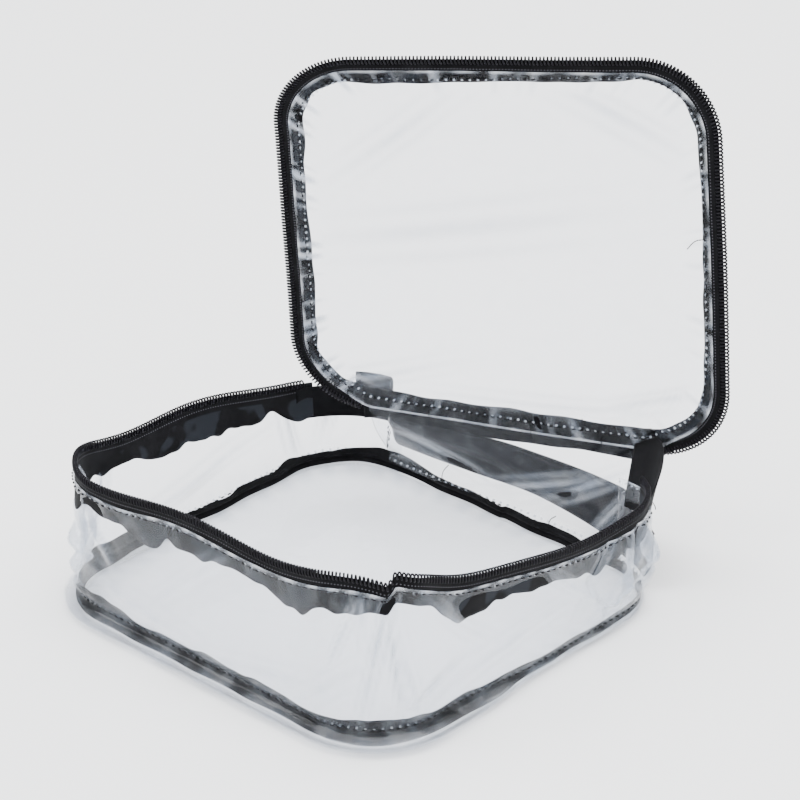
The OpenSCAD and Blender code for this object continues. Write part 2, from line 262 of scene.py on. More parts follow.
def wall_outline(s):
    """The wall at distance s: its point, its outward direction and the height of the zipper line."""
    p = sizes()
    x, y, nx, ny = outline(s, p.bag_w, p.bag_d, p.corner_r)
    return x, y, nx, ny, rim_height(x, y) + rim_wave(s)


def rim_wave(s):
    """How far the soft zipper line stands above its sloping plane: high at the front corners and the
    left side, low along the right, with a step at the front right corner where the tape is kinked."""
    step = smooth(0.0868, 0.0902, s) * bell(np.maximum(s - 0.0902, 0), 0.024)
    kink = 0.0060 * step + 0.0062 * bell(s - 0.0740, 0.026)
    hills = 0.0048 * bell(s + 0.088, 0.030) + 0.0074 * bell(s + 0.01, 0.055) + 0.0042 * bell(s + 0.165, 0.045)
    return kink + hills - 0.0038 * bell(s - 0.185, 0.038) + ripple(s, ((0.083, 1.9, 0.0004),))


def wall_point(s, z_share, inset=0.0):
    """A point of the soft wall: s round the outline, z_share from 0 on the table to 1 on the zipper line.
    The wall bellies a little, is nipped in at the bottom seam and rolls out below it."""
    x, y, nx, ny, top = wall_outline(s)
    z = z_share * top
    belly = np.sin(math.pi * np.clip(z_share, 0, 1)) * ripple(
        s, ((0.216, 0.9, 0.0016), (0.108, 2.2, 0.0010), (0.047, 0.3, 0.0004)))
    crush, fold = creases(s, z_share, WALL_TALL, WALL_CREASES)
    free = smooth(0.10, 0.24, z_share) * (1 - smooth(0.80, 0.93, z_share))
    front = front_share(s)
    seam = 0.0045 + 0.0030 * front
    hem_roll = 0.0036 * front * bell(z - 0.0026, 0.0022)
    nip = hem_roll - 0.0026 * bell(z - seam, 0.0028) - 0.0034 * (1 - smooth(0.0, 0.0018, z))
    out = belly * free + crush * free + nip + rim_bulge(s) * smooth(0.30, 1.0, z_share) - inset
    return np.stack([x + nx * out, y + ny * out, z], -1), fold * free


def rim_point(s, depth, inset):
    """A point of the wall's zipper, by its depth below the zipper line and its inset from the wall."""
    x, y, nx, ny, top = wall_outline(s)
    out = rim_bulge(s) * smooth(0.30, 1.0, 1 - depth / top) - inset
    return np.stack([x + nx * out, y + ny * out, top - depth], -1)


def wall_seam(s, z_share):
    """Points of a stitch row on the wall's outer face, and the way its stitches stand out."""
    points, _ = wall_point(s, z_share, inset=-sizes().vinyl_t / 2 - 0.0001)
    _, _, nx, ny, _ = wall_outline(s)
    return points, np.stack([nx, ny, np.zeros_like(nx)], -1)


def lid_frame():
    """The open lid's turn and hinge point: turned about Z by the yaw after standing up from flat."""
    p = sizes()
    standing = turn("Z", p.lid_yaw) @ turn("X", -(math.pi / 2 + p.lid_lean))
    return standing, np.array([0, p.bag_d / 2, p.hinge_h])


# How far the lid's corners stand off the flat open lid: across, along and out of it
LID_CORNERS = {"hinge_left": (0.0003, 0.0035, -0.0005), "hinge_right": (0.0, 0.0030, -0.0045),
               "top_left": (0.0060, 0.0080, -0.0300), "top_right": (-0.0078, -0.0020, -0.0075)}
LID_CREASES = np.array([
    (-0.060, 0.10, 0.35, 0.030, 0.0040, -0.0018), (0.048, 0.86, -0.5, 0.026, 0.0050, 0.0020),
    (-0.040, 0.80, 0.7, 0.026, 0.0050, -0.0018), (0.060, 0.14, 0.3, 0.028, 0.0036, 0.0020),
    (0.020, 0.10, 0.05, 0.050, 0.0034, -0.0014), (-0.020, 0.55, 0.2, 0.050, 0.0090, 0.0016),
])


def lid_size():
    """Width and length of the lid, measured along the slope of the zipper line."""
    p = sizes()
    b = math.atan(p.side_rise / p.bag_w)
    a = math.atan((p.front_h - p.hinge_h) / p.bag_d * math.cos(b))
    return p.bag_w / math.cos(b), p.bag_d / math.cos(a)


def lid_place(x, y, z):
    """A point of the soft lid from flat lid coordinates: the four corner offsets are mixed by the
    share across and up, a shallow bow is added, and the result is turned to the open lid."""
    w, d = lid_size()
    u, v = x / w + 0.5, -y / d
    c = {k: np.array(val) for k, val in LID_CORNERS.items()}
    low = c["hinge_left"] * (1 - u)[..., None] + c["hinge_right"] * u[..., None]
    high = c["top_left"] * (1 - u)[..., None] + c["top_right"] * u[..., None]
    climb = (v * (0.55 + 0.45 * v))[..., None]
    off = low * (1 - climb) + high * climb
    bow = -0.0035 * np.sin(math.pi * np.clip(v, 0, 1)) * (1 - (2 * u - 1) ** 2)
    reach = np.clip(((2 * x / w) ** 2 + (2 * y / d + 1) ** 2) / 2, 0, 1)
    edge = ripple(np.arctan2(y / d + 0.5, x / w), ((2.1, 0.4, 0.0006), (0.9, 1.2, 0.0004))) * reach
    local = np.stack([x, y, z + bow + edge], -1) + off
    r, at = lid_frame()
    return local @ r.T + at


def lid_outline(s, inset):
    """A point of the lid's outline in flat lid coordinates, with the hinge edge at y = 0."""
    w, d = lid_size()
    x, y, nx, ny = outline(s, w, d, sizes().corner_r)
    return x - nx * inset, y - ny * inset - d / 2


def narrow_share(s):
    """1 along the lid's right side, where its border is narrower, easing to 0 elsewhere."""
    return smooth(-0.03, 0.06, s) * (1 - smooth(0.19, 0.23, s))


def lid_seam(x, y):
    """Points of a stitch row on the lid's sheet, and the way its stitches stand up."""
    inward = lid_frame()[0] @ np.array([0, 0, -1.0])
    return lid_place(x, y, np.full_like(x, 0.0006)), np.repeat(inward[None], len(x), 0)


# ---------- meshes ----------

def new_object(name, verts, faces, uv=None, values=None):
    """Puts arrays of points and faces into a mesh object, with a UV map and named values per point."""
    mesh = bpy.data.meshes.new(name)
    faces = faces.tolist() if isinstance(faces, np.ndarray) else faces
    mesh.from_pydata(np.asarray(verts, float).reshape(-1, 3), [], faces)
    if uv is not None:
        layer = mesh.uv_layers.new(name="UVMap")
        corner = np.empty(len(mesh.loops), int)
        mesh.loops.foreach_get("vertex_index", corner)
        layer.data.foreach_set("uv", np.asarray(uv, float).reshape(-1, 2)[corner].ravel())
    for key, value in (values or {}).items():
        attribute = mesh.attributes.new(key, "FLOAT", "POINT")
        attribute.data.foreach_set("value", np.asarray(value, np.float32).ravel())
    mesh.polygons.foreach_set("use_smooth", np.full(len(mesh.polygons), True))
    mesh.update()
    obj = bpy.data.objects.new(name, mesh)
    bpy.context.scene.collection.objects.link(obj)
    return obj


def thicken(obj, thickness):
    """Gives a sheet its real thickness, half of it to each side."""
    thick = obj.modifiers.new("Thickness", "SOLIDIFY")
    thick.thickness, thick.offset = thickness, 0.0
    return obj


def grid_faces(rows, cols, wrap_rows=False, wrap_cols=False):
    """Four-sided faces that join the neighbours of a grid numbered row by row."""
    i = np.arange(rows if wrap_rows else rows - 1)[:, None]
    j = np.arange(cols if wrap_cols else cols - 1)[None, :]
    i2, j2 = (i + 1) % rows, (j + 1) % cols
    return np.stack([i * cols + j, i2 * cols + j, i2 * cols + j2, i * cols + j2], -1).reshape(-1, 4)


def sheet_object(name, points, thickness, uv, values=None, flip=False, wrap_rows=False):
    """A soft sheet: a grid of points, turned over by flip and closed to a ring by wrap_rows."""
    faces = grid_faces(*points.shape[:2], wrap_rows=wrap_rows)
    return thicken(new_object(name, points, faces[:, ::-1] if flip else faces, uv, values), thickness)


def disc_object(name, place, rings, spokes, thickness):
    """A sheet that fills a closed outline: place(share, turn) gives its points from the centre, share 0,
    to the edge, share 1. The centre is one point, joined to the first ring by triangles."""
    share = np.linspace(0, 1, rings + 1)[1:] ** 0.85
    around = np.linspace(-0.5, 0.5, spokes, endpoint=False)
    points, uv, values = place(*np.meshgrid(share, around, indexing="ij"))
    centre, centre_uv, centre_values = place(np.zeros((1, 1)), np.zeros((1, 1)))
    points = np.vstack([centre.reshape(1, 3), points.reshape(-1, 3)])
    uv = np.vstack([centre_uv.reshape(1, 2), uv.reshape(-1, 2)])
    values = {key: np.concatenate([centre_values[key].ravel(), values[key].ravel()]) for key in values}
    faces = (grid_faces(rings, spokes, wrap_cols=True) + 1).tolist()
    faces += [[0, 1 + j, 1 + (j + 1) % spokes] for j in range(spokes)]
    return thicken(new_object(name, points, faces, uv, values), thickness)


def tube_object(name, path, side, radius, sides=5):
    """A round thread along a path: each ring is a circle across the path, set by the path's direction
    and a side direction. The ends are closed with flat caps. Its UV map runs along and round it."""
    ahead = np.gradient(path, axis=0)
    ahead /= np.linalg.norm(ahead, axis=1, keepdims=True)
    across = np.cross(ahead, side)
    across /= np.linalg.norm(across, axis=1, keepdims=True)
    other = np.cross(across, ahead)
    a = np.linspace(0, 2 * math.pi, sides, endpoint=False)
    points = (path[:, None] + radius * (np.cos(a)[None, :, None] * across[:, None]
                                        + np.sin(a)[None, :, None] * other[:, None]))
    faces = grid_faces(len(path), sides, wrap_cols=True)[:, ::-1].tolist()
    faces.append(list(range(sides)))
    faces.append(list(range(len(path) * sides - 1, (len(path) - 1) * sides - 1, -1)))
    uv = np.stack(np.meshgrid(np.arange(len(path)) / COIL_STEPS, a / (2 * math.pi), indexing="ij"), -1)
    return new_object(name, points, faces, uv)


def stitch_row(name, node, surface, s_range, pitch, body="bag", tails=()):
    """A finished lockstitch row: surface(s) gives points and outward directions along the seam, and each
    stitch covers a share of the pitch. tails are loose thread ends: place, direction and length."""
    radius = sizes().thread_r
    count = int((s_range[1] - s_range[0]) / pitch)
    s = s_range[0] + (np.arange(count) + 0.5) * (s_range[1] - s_range[0]) / count
    half, wander = STITCH_SHARE * pitch / 2, 0.10 * pitch * np.sin(s * 4000)
    starts, out = surface(s - half + wander)
    ends, _ = surface(s + half + wander)
    lift = out / np.linalg.norm(out, axis=1, keepdims=True)
    points, faces = capsules(starts, ends, lift, radius)
    for at, way, long in tails:
        here, up = surface(np.array([at]))
        t = np.linspace(0, 1, 9)[:, None]
        way = np.array(way) / np.linalg.norm(way)
        bend = np.cross(way, up[0])
        path = here + way * t * long + up[0] * 0.0012 * np.sin(t * 2.2) + bend * 0.0011 * np.sin(t * 4.0)
        tail, tail_faces = capsules(path[:-1], path[1:], np.repeat(up, 8, 0), radius * 0.7, sides=5, bulge=0)
        faces += [[v + len(points) for v in f] for f in tail_faces]
        points = np.vstack([points, tail])
    finish_piece(new_object(name, points, faces), "black_thread", "thread", node, body=body)


def capsules(starts, ends, lift, radius, sides=6, bulge=0.35):
    """Points and faces of one rounded bar per stitch. Each bar arches from its start to its end: its
    middle rises along lift, and it thins to its two closed ends."""
    t = np.linspace(0, 1, 7)
    mid = starts[:, None] * (1 - t)[None, :, None] + ends[:, None] * t[None, :, None]
    mid = mid + lift[:, None] * (np.sin(math.pi * t) * radius * bulge * 2)[None, :, None]
    ahead = ends - starts
    ahead /= np.linalg.norm(ahead, axis=1, keepdims=True)
    across = np.cross(ahead, lift)
    across /= np.linalg.norm(across, axis=1, keepdims=True)
    a = np.linspace(0, 2 * math.pi, sides, endpoint=False)
    r = radius * np.sqrt(np.clip(1 - (2 * t - 1) ** 4, 0.02, 1))
    ring = (np.cos(a)[None, None, :, None] * across[:, None, None]
            + np.sin(a)[None, None, :, None] * lift[:, None, None])
    points = mid[:, :, None] + r[None, :, None, None] * ring
    n = points.shape[1] * sides
    one = grid_faces(points.shape[1], sides, wrap_cols=True).tolist()
    one += [list(range(sides))[::-1], list(range(n - sides, n))]
    faces = [[v + n * k for v in f] for k in range(len(starts)) for f in one]
    return points.reshape(-1, 3), faces


# ---------- materials ----------

def math_node(operation, swapped=False):
    """A method that adds a Math node, with its two inputs swapped where the order matters."""
    def method(self, other=None):
        pair = (other, self) if swapped else (self, other)
        inputs = {i: value for i, value in enumerate(pair) if value is not None}
        return self.node("ShaderNodeMath", {"operation": operation}, inputs)
    return method


class Socket:
    """Wraps a node's output so that shader maths reads as Python: an operator adds its Math node."""

    __add__ = __radd__ = math_node("ADD")
    __sub__ = math_node("SUBTRACT")
    __rsub__ = math_node("SUBTRACT", swapped=True)
    __mul__ = __rmul__ = math_node("MULTIPLY")
    __truediv__ = math_node("DIVIDE")
    __pow__ = math_node("POWER")
    wave = math_node("SINE")
    absolute = math_node("ABSOLUTE")
    at_most = math_node("MINIMUM")

    def __init__(self, tree, out=None):
        self.tree, self.out = tree, out

    def node(self, kind, settings=None, inputs=None, output=0):
        """Adds a node: its type, its settings, and the values or links of its sockets."""
        made = self.tree.nodes.new(kind)
        for key, value in (settings or {}).items():
            setattr(made, key, value)
        for key, value in (inputs or {}).items():
            if isinstance(value, Socket):
                self.tree.links.new(value.out, made.inputs[key])
            else:
                made.inputs[key].default_value = value
        return Socket(self.tree, made.outputs[output])

    def ease(self, low, high):
        """0 below low, 1 above high, smooth between."""
        return self.node("ShaderNodeMapRange", {"interpolation_type": "SMOOTHSTEP"},
                         {"Value": self, "From Min": low, "From Max": high})

    def bump(self, strength, distance):
        """The surface's direction with this height worked into it."""
        return self.node("ShaderNodeBump", {}, {"Strength": strength, "Distance": distance, "Height": self})

    def body(self, colour, inputs):
        """The usual shader of solid stuff."""
        return self.node("ShaderNodeBsdfPrincipled", {}, {"Base Color": colour, **inputs})


def mesh_value(start, name):
    """A value that the mesh holds for each point."""
    return start.node("ShaderNodeAttribute", {"attribute_name": name}, output="Fac")


def uv_parts(start):
    """Metres along and across a piece, from its UV map."""
    uv = start.node("ShaderNodeUVMap", {"uv_map": "UVMap"})
    along = start.node("ShaderNodeSeparateXYZ", {}, {0: uv})
    return along, Socket(start.tree, along.out.node.outputs[1])


def noise(start, scale, detail=3.0, rough=0.55):
    """Smooth noise on object coordinates, about 0 to 1."""
    place = start.node("ShaderNodeTexCoord", output="Object")
    return start.node("ShaderNodeTexNoise", {}, {"Vector": place, "Scale": scale, "Detail": detail,
                                                 "Roughness": rough})


def mix_colour(start, factor, a, b):
    """One colour turning into another."""
    a, b = (c if isinstance(c, Socket) else (*c, 1) for c in (a, b))
    return start.node("ShaderNodeMix", {"data_type": "RGBA"}, {"Factor": factor, 6: a, 7: b}, output=2)


def vinyl_material(start):
    """Clear vinyl: a faintly tinted see-through sheet that mirrors more at a glance, with painted
    grey-blue shade and white highlights on its folds, paler hazy cut edges, a slight unevenness that
    breaks the reflections, and a row of hazy needle holes where the second value of its UV map is 0."""
    fold, edge = mesh_value(start, "fold"), mesh_value(start, "edge")
    soft, fine = noise(start, 38.0, 4.0), noise(start, 160.0)
    vein = (1 - ((soft - 0.5).absolute() * 9.0).at_most(1.0)) * fine.ease(0.45, 0.65)
    bump = (soft * 0.7 + fine * 0.02 + fold * 0.6).bump(0.45, 0.0018)
    glance = start.node("ShaderNodeLayerWeight", {}, {"Blend": 0.5, "Normal": bump}, output="Facing")
    u, v = uv_parts(start)
    in_row = (1 - v.absolute() / 0.00055).ease(0.1, 0.6)
    hole = in_row * (u * (2 * math.pi / sizes().stitch_pitch)).wave().ease(0.5, 0.9)
    # The fold value makes the sheet opaque on its creases, and body_colour paints them there: grey-blue
    # painted shade, turned by the fine noise in pale towards white painted highlight.
    solid = hole * 0.55 + 0.004 + glance ** 3.0 * 0.08 + fold * 0.52 + edge * 0.46 + vein * 0.02
    pale = (fine.ease(0.35, 0.7) * 0.6 + edge * 0.4).at_most(1.0)
    body_colour = mix_colour(start, pale, tuple(colours().haze_and_fold_shade), (0.93, 0.95, 0.97))
    body = start.body(body_colour, {"Roughness": 0.16, "IOR": 1.5, "Normal": bump})
    clear = start.node("ShaderNodeBsdfTransparent", {}, {"Color": (*colours().vinyl, 1)})
    sheet = start.node("ShaderNodeMixShader", {}, {0: solid.at_most(0.92), 1: clear, 2: body})
    mirror = start.node("ShaderNodeBsdfAnisotropic", {}, {"Color": (1, 1, 1, 1), "Roughness": 0.08,
                                                         "Normal": bump})
    shine = (0.009 + glance ** 4.5 * 0.55).at_most(1.0)
    return start.node("ShaderNodeMixShader", {}, {0: shine, 1: sheet, 2: mirror})


def cloth_material(start, base, ribs_u, ribs_v, sheen=0.03, dots=None, rough=0.78, gloss=0.06):
    """Woven tape on the piece's own UV map, in metres along and across: ribs are sine waves in both
    directions, and their product is the height of the weave. The raised weave is painted lighter as a
    painted highlight, and random wear lightens it too. dots, a place across the tape and a pitch, adds a
    row of thread along the coil and greyer patches near the tape's free edge, a painted reflection of
    the vinyl that lies over it."""
    base = tuple(base)
    u, v = uv_parts(start)
    along, over = (u * (2 * math.pi / ribs_u)).wave(), (v * (2 * math.pi / ribs_v)).wave()
    weave = along * over * 0.5 + 0.5
    worn = noise(start, 90.0, 4.0, 0.6)
    height = weave * 0.7 + worn * 0.3
    # lift paints the raised weave lighter as a painted highlight on the rib tops, and lightens random worn
    # patches as wear; it also makes them smoother.
    lift = (weave.ease(0.35, 1.0) * 0.25 + worn.ease(0.4, 0.75) * 0.45).at_most(1.0)
    shade = mix_colour(start, lift, base, tuple(min(1.0, c * 2.2 + 0.003) for c in base))
    if dots:
        at, pitch = dots
        # Greyer patches on the part of the tape past about 7 mm across, where the vinyl lies over it: a
        # painted reflection of the vinyl.
        vinyl_reflection_patches = noise(start, 62.0, 1.5).ease(0.50, 0.54) * v.ease(0.0070, 0.0078)
        shade = mix_colour(start, vinyl_reflection_patches, shade, (0.013, 0.015, 0.019))
        near = 1 - ((v - at).absolute() / 0.00028).at_most(1.0)
        spot = near.ease(0.1, 0.6) * (u * (2 * math.pi / pitch)).wave().ease(0.1, 0.7)
        height = height + spot * 1.4
        shade = mix_colour(start, spot * 0.8, shade, (0.10, 0.10, 0.115))
    return start.body(shade, {"Roughness": rough - 0.12 * lift, "Normal": height.bump(0.3, 0.0002),
                              "Sheen Weight": sheen, "Sheen Roughness": 0.5, "Specular IOR Level": gloss})


def nylon_material(start):
    """Black nylon monofilament: smooth, with a soft gloss and small scuffs."""
    scuff = noise(start, 900.0).ease(0.45, 0.75)
    shade = mix_colour(start, scuff, tuple(colours().coil), (0.012, 0.011, 0.016))
    return start.body(shade, {"Roughness": 0.42 + scuff * 0.2, "Normal": scuff.bump(0.25, 0.00005),
                              "Specular IOR Level": 0.14})


def thread_material(start):
    """Black twisted thread: fine grain as a bump."""
    grain = noise(start, 2600.0, 2.0)
    shade = mix_colour(start, grain.ease(0.4, 0.8), tuple(colours().thread), (0.014, 0.014, 0.018))
    return start.body(shade, {"Roughness": 0.5, "Normal": grain.bump(0.5, 0.00006),
                              "Specular IOR Level": 0.12})


def lacquer_material(start):
    """Black lacquered metal: a glossy coat with faint waves and worn specks at a fine scale."""
    wear = noise(start, 700.0, 5.0, 0.6).ease(0.62, 0.78)
    shade = mix_colour(start, wear, tuple(colours().metal), (0.16, 0.155, 0.15))
    return start.body(shade, {"Metallic": wear * 0.7, "Roughness": 0.22 + wear * 0.25, "Coat Weight": 0.6,
                              "Coat Roughness": 0.08, "Normal": noise(start, 240.0, 2.0).bump(0.2, 0.0001)})


def floor_material(start):
    """Plain pale floor with a barely visible unevenness."""
    base = tuple(colours().floor)
    patches = noise(start, 3.0, 2.0).ease(0.3, 0.7) * 0.25
    shade = mix_colour(start, patches, base, tuple(c * 0.985 for c in base))
    return start.body(shade, {"Roughness": 0.55, "Specular IOR Level": 0.3})


MATERIALS = {
    "clear_vinyl_sheet": vinyl_material,
    "sewn_zipper_tape": lambda start: cloth_material(start, colours().tape, 0.00062, 0.00075,
                                                     dots=(0.0052, 0.0013)),
    "binding_tape": lambda start: cloth_material(start, colours().tape, 0.0007, 0.0007),
    "webbing_band": lambda start: cloth_material(start, colours().webbing, 0.0022, 0.0012, 0.06, rough=0.36,
                                                 gloss=0.12),
    "black_nylon_coil": nylon_material,
    "black_thread": thread_material,
    "black_lacquered_metal": lacquer_material,
    "pale_floor": floor_material,
}


def material(key):
    """The finished material for a piece, made the first time it is asked for."""
    made = bpy.data.materials.get(key)
    if made is None:
        made = bpy.data.materials.new(key)
        made.use_nodes = True
        tree = made.node_tree
        tree.nodes.clear()
        shader = MATERIALS[key](Socket(tree))
        out = tree.nodes.new("ShaderNodeOutputMaterial")
        tree.links.new(shader.out, out.inputs["Surface"])
    return made


def finish_piece(obj, look, slot, node, body=None, bend=None):
    """Gives a piece its material, hides the CAD node it stands for, and makes it ride a body; with a
    bend it only bakes the piece's place. The slot is not used."""
    obj.data.materials.append(material(look))
    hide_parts(node)
    if bend:
        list(bend)
        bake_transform(obj)
        return
    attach(obj, body)
    if body == "lid":
        standing, at = lid_frame()
        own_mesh(obj)


# ---------- pieces ----------

def edge_wave(s):
    """How wavy the cut edge of a hand-sewn tape runs under the vinyl."""
    slow = ripple(s, ((0.093, 0.5, 1.0), (0.057, 2.1, 0.7)))
    quick = ripple(s, ((0.033, 1.3, 0.0009), (0.0187, 0.2, 0.0004)))
    return ripple(s, ((0.071, 0.5, 0.0012),)) + slow * quick


class BAG_OT_base_sheet(bpy.types.Operator):
    """Makes the clear floor of the bag: a rounded sheet that lies on the table with slow waves."""
    bl_idname = "bag.base_sheet"
    bl_label = "Base sheet"

    def execute(self, context):
        p = sizes()
        round_length = girth(p.bag_w, p.bag_d, p.corner_r)

        def place(k, t):
            x, y, nx, ny = outline(t * round_length * NEARLY_ALL, p.bag_w, p.bag_d, p.corner_r)
            x, y = (x - nx * 0.0036) * k, (y - ny * 0.0036) * k
            mound = 0.0009 * (1 - k ** 4) * (0.5 + 0.5 * np.sin(x * 52 + 1.0) * np.cos(y * 47 - 0.4))
            z = 0.0003 + mound + 0.0002 * smooth(0.9, 1.0, k)
            # pucker goes into the fold value, which the vinyl paints as grey-blue painted shade and white
            # painted highlights round the rim.
            pucker = 0.25 * smooth(0.86, 0.97, k) * (0.5 + 0.5 * np.sin(t * 330))
            return (np.stack([x, y, z], -1), np.stack([x, y + 1], -1),
                    {"fold": pucker, "edge": smooth(0.985, 1.0, k) * 0.5})

        obj = disc_object("base_sheet", place, 34, 260, p.vinyl_t)
        finish_piece(obj, "clear_vinyl_sheet", "clear_vinyl", "base_panel", body="bag")
        return {"FINISHED"}


class BAG_OT_side_wall(bpy.types.Operator):
    """Makes the clear strip that runs round the front and both sides: a creased sheet carried round
    the outline, nipped in at the bottom seam, with its cut edge below the zipper."""
    bl_idname = "bag.side_wall"
    bl_label = "Side wall"

    def execute(self, context):
        p = sizes()
        rows, cols, hem_cols = 420, 46, 14
        s = np.linspace(-RIGHT_SEAM - 0.004, RIGHT_SEAM + 0.004, rows)
        v = np.concatenate([np.linspace(0, 0.16, hem_cols)[:-1], np.linspace(0.16, 1, cols - hem_cols + 1)])
        ss, vv = np.meshgrid(s, v, indexing="ij")
        top = wall_outline(ss)[-1]
        share = vv * (1 - (p.bare_w + ripple(ss, ((0.05, 0.2, 0.0003),))) / top)
        points, fold = wall_point(ss, share)
        # lip, pucker and hem join the creases' fold value; the vinyl paints all of it as grey-blue painted
        # shade and white painted highlights.
        lip = bell(vv - 0.04, 0.035) * (0.14 + 0.12 * uneven_sine(ss, 160, 2, 37))
        pucker = bell(share * top - 0.006, 0.004) * np.clip(uneven_sine(ss, 380, 4, 70), 0, 1) * 0.07
        gathers = np.clip(uneven_sine(ss, 430, 3.5, 95) * np.sin(ss * 71), 0, 1)
        hem = bell(vv - 0.93, 0.05) * gathers * 0.03
        cut = smooth(0.986, 1.0, vv) * np.clip(0.45 + 0.6 * uneven_sine(ss, 610, 3, 83), 0.1, 1)
        values = {"fold": np.clip(fold + lip + pucker + hem, 0, 1), "edge": cut}
        from_bottom_row = share * top - 0.0058 - 0.0030 * front_share(ss)
        from_rim_row = (1 - share) * top - p.bare_w - 0.0016
        uv = np.stack([ss, np.where(vv < 0.6, from_bottom_row, from_rim_row)], -1)
        obj = sheet_object("side_wall", points, p.vinyl_t, uv, values)
        finish_piece(obj, "clear_vinyl_sheet", "clear_vinyl", "wall_panel", body="bag")
        return {"FINISHED"}


def back_point(x_share, v, inset=0.0):
    """A point of the back wall: its foot stands on the straight bottom seam and its top follows the
    lid's hinge edge. Points between are mixed by height, with a sag towards the inside."""
    back = np.full_like(x_share, sizes().bag_d / 2)
    foot = np.stack([FOOT_HALF * x_share, back, np.zeros_like(x_share)], -1)
    head = lid_place(x_share * HEAD_HALF, np.full_like(x_share, -0.0030), np.full_like(x_share, 0.0005))
    climb = smooth(0.0, 1.0, v) * 0.45 + v * 0.55
    point = foot * (1 - climb)[..., None] + head * climb[..., None]
    point[..., 2] = head[..., 2] * v
    out = 0.0022 * np.sin(math.pi * v) * np.sin(x_share * 3.1 + 0.6) - inset
    nip = -0.0020 * bell(point[..., 2] - 0.0045, 0.0028) - 0.0030 * (1 - smooth(0, 0.0022, point[..., 2]))
    point[..., 1] += out + nip
    return point


class BAG_OT_back_wall(bpy.types.Operator):
    """Makes the clear back wall, which twists from the straight bottom seam to the open lid."""
    bl_idname = "bag.back_wall"
    bl_label = "Back wall"

    def execute(self, context):
        xs, vv = grid(-1.0, 1.0, 150, 40)
        points = back_point(xs, vv)
        crush, fold = creases(xs * 0.06, vv, BACK_TALL, BACK_CREASES)
        points[..., 1] += crush * np.sin(math.pi * vv)
        # The creases' fold value is painted by the vinyl as grey-blue painted shade and white painted
        # highlights.
        values = {"fold": fold * np.sin(math.pi * vv), "edge": smooth(0.985, 1, vv) * 0.6}
        uv = np.stack([xs * 0.06, vv * BACK_TALL - 0.0058], -1)
        obj = sheet_object("back_wall", points, sizes().vinyl_t, uv, values, flip=True)
        finish_piece(obj, "clear_vinyl_sheet", "clear_vinyl", "back_panel", bend=BACK_BEND)
        return {"FINISHED"}


class BAG_OT_bottom_binding(bpy.types.Operator):
    """Makes the black tape inside the bottom seam, with a wavy cut edge up the wall."""
    bl_idname = "bag.bottom_binding"
    bl_label = "Bottom binding"

    def execute(self, context):
        p = sizes()
        full = girth(p.bag_w, p.bag_d, p.corner_r)
        s = np.linspace(-0.5, 0.5, 520, endpoint=False) * full * NEARLY_ALL
        ss, vv = np.meshgrid(s, np.linspace(0, 1, 12), indexing="ij")
        _, _, nx, ny, top = wall_outline(ss)
        near = 1 - smooth(0.10, 0.17, np.abs(ss))
        hump = bell(ss + 0.262, 0.022)
        waves = edge_wave(ss) + edge_wave(ss * 1.7 + 0.1) * 0.5
        high = p.binding_h * (0.34 + 0.34 * near + 0.16 * hump) + (0.35 + 0.4 * near) * waves
        foot = 0.30  # the tape's share that lies on the floor
        rise, flat = np.clip((vv - foot) / (1 - foot), 0, 1), np.clip(1 - vv / foot, 0, 1)
        share = (0.0026 + 0.0022 * near + rise * high) / top
        points, _ = wall_point(ss, share, inset=0.0009 + 0.0004 * np.sin(ss * 210))
        inwards = flat * (0.0016 + 0.0014 * near)
        points[..., 0] -= nx * inwards
        points[..., 1] -= ny * inwards
        on_floor = 0.0011 + (0.0015 + 0.0022 * near) * (vv / foot) ** 2
        points[..., 2] = np.where(vv < foot, on_floor, points[..., 2])
        uv = np.stack([ss, vv * p.binding_h], -1)
        obj = sheet_object("bottom_binding", points, p.tape_t, uv, wrap_rows=True)
        finish_piece(obj, "binding_tape", "zipper_tape", "base_binding", body="bag")
        return {"FINISHED"}


class BAG_OT_wall_tape(bpy.types.Operator):
    """Makes the wall's zipper tape: a strip inside the wall whose free edge runs wavy."""
    bl_idname = "bag.wall_tape"
    bl_label = "Wall zipper tape"

    def execute(self, context):
        p = sizes()
        ss, vv = grid(LEFT_END - 0.004, RIGHT_END, 520, 14)
        deep = 0.0018 + vv * (p.tape_w - 0.0018 + 1.6 * edge_wave(ss + 0.03) + 0.9 * edge_wave(ss * 1.9))
        points = rim_point(ss, deep, p.vinyl_t + p.tape_t / 2 + 0.0003 * vv * (1 + np.sin(ss * 190)))
        obj = sheet_object("wall_tape", points, p.tape_t, np.stack([ss, deep], -1))
        finish_piece(obj, "sewn_zipper_tape", "zipper_tape", "wall_zip_tape", body="bag")
        return {"FINISHED"}


def coil_path(place, start, end):
    """The coil's centre line: one turn per pitch, flat across the chain. place(s, across, off) gives
    points by distance along the chain, across the chain and off its face, all in metres."""
    p = sizes()
    turns = int((end - start) / p.coil_pitch)
    a = np.linspace(0, 2 * math.pi * turns, turns * COIL_STEPS + 1)
    s = start + (end - start) * a / (2 * math.pi * turns)
    across = 0.5 + 0.5 * np.sign(np.cos(a)) * np.abs(np.cos(a)) ** 0.8
    off = np.sin(a) * (p.coil_t * 0.36 - COIL_WIRE_R * 0.3)
    return place(s, COIL_WIRE_R + across * (p.coil_w - 2 * COIL_WIRE_R), off), s


class BAG_OT_wall_coil(bpy.types.Operator):
    """Makes the wall's half of the coil zipper as one long helix of nylon."""
    bl_idname = "bag.wall_coil"
    bl_label = "Wall zipper coil"

    def execute(self, context):
        p = sizes()
        middle = p.vinyl_t + p.tape_t / 2
        path, s = coil_path(lambda s, across, off: rim_point(s, across, middle + off), LEFT_END, RIGHT_END)
        _, _, nx, ny, _ = wall_outline(s)
        obj = tube_object("wall_coil", path, np.stack([-ny, nx, np.zeros_like(nx)], -1), COIL_WIRE_R)
        finish_piece(obj, "black_nylon_coil", "nylon_coil", "wall_zip_coil", body="bag")
        return {"FINISHED"}


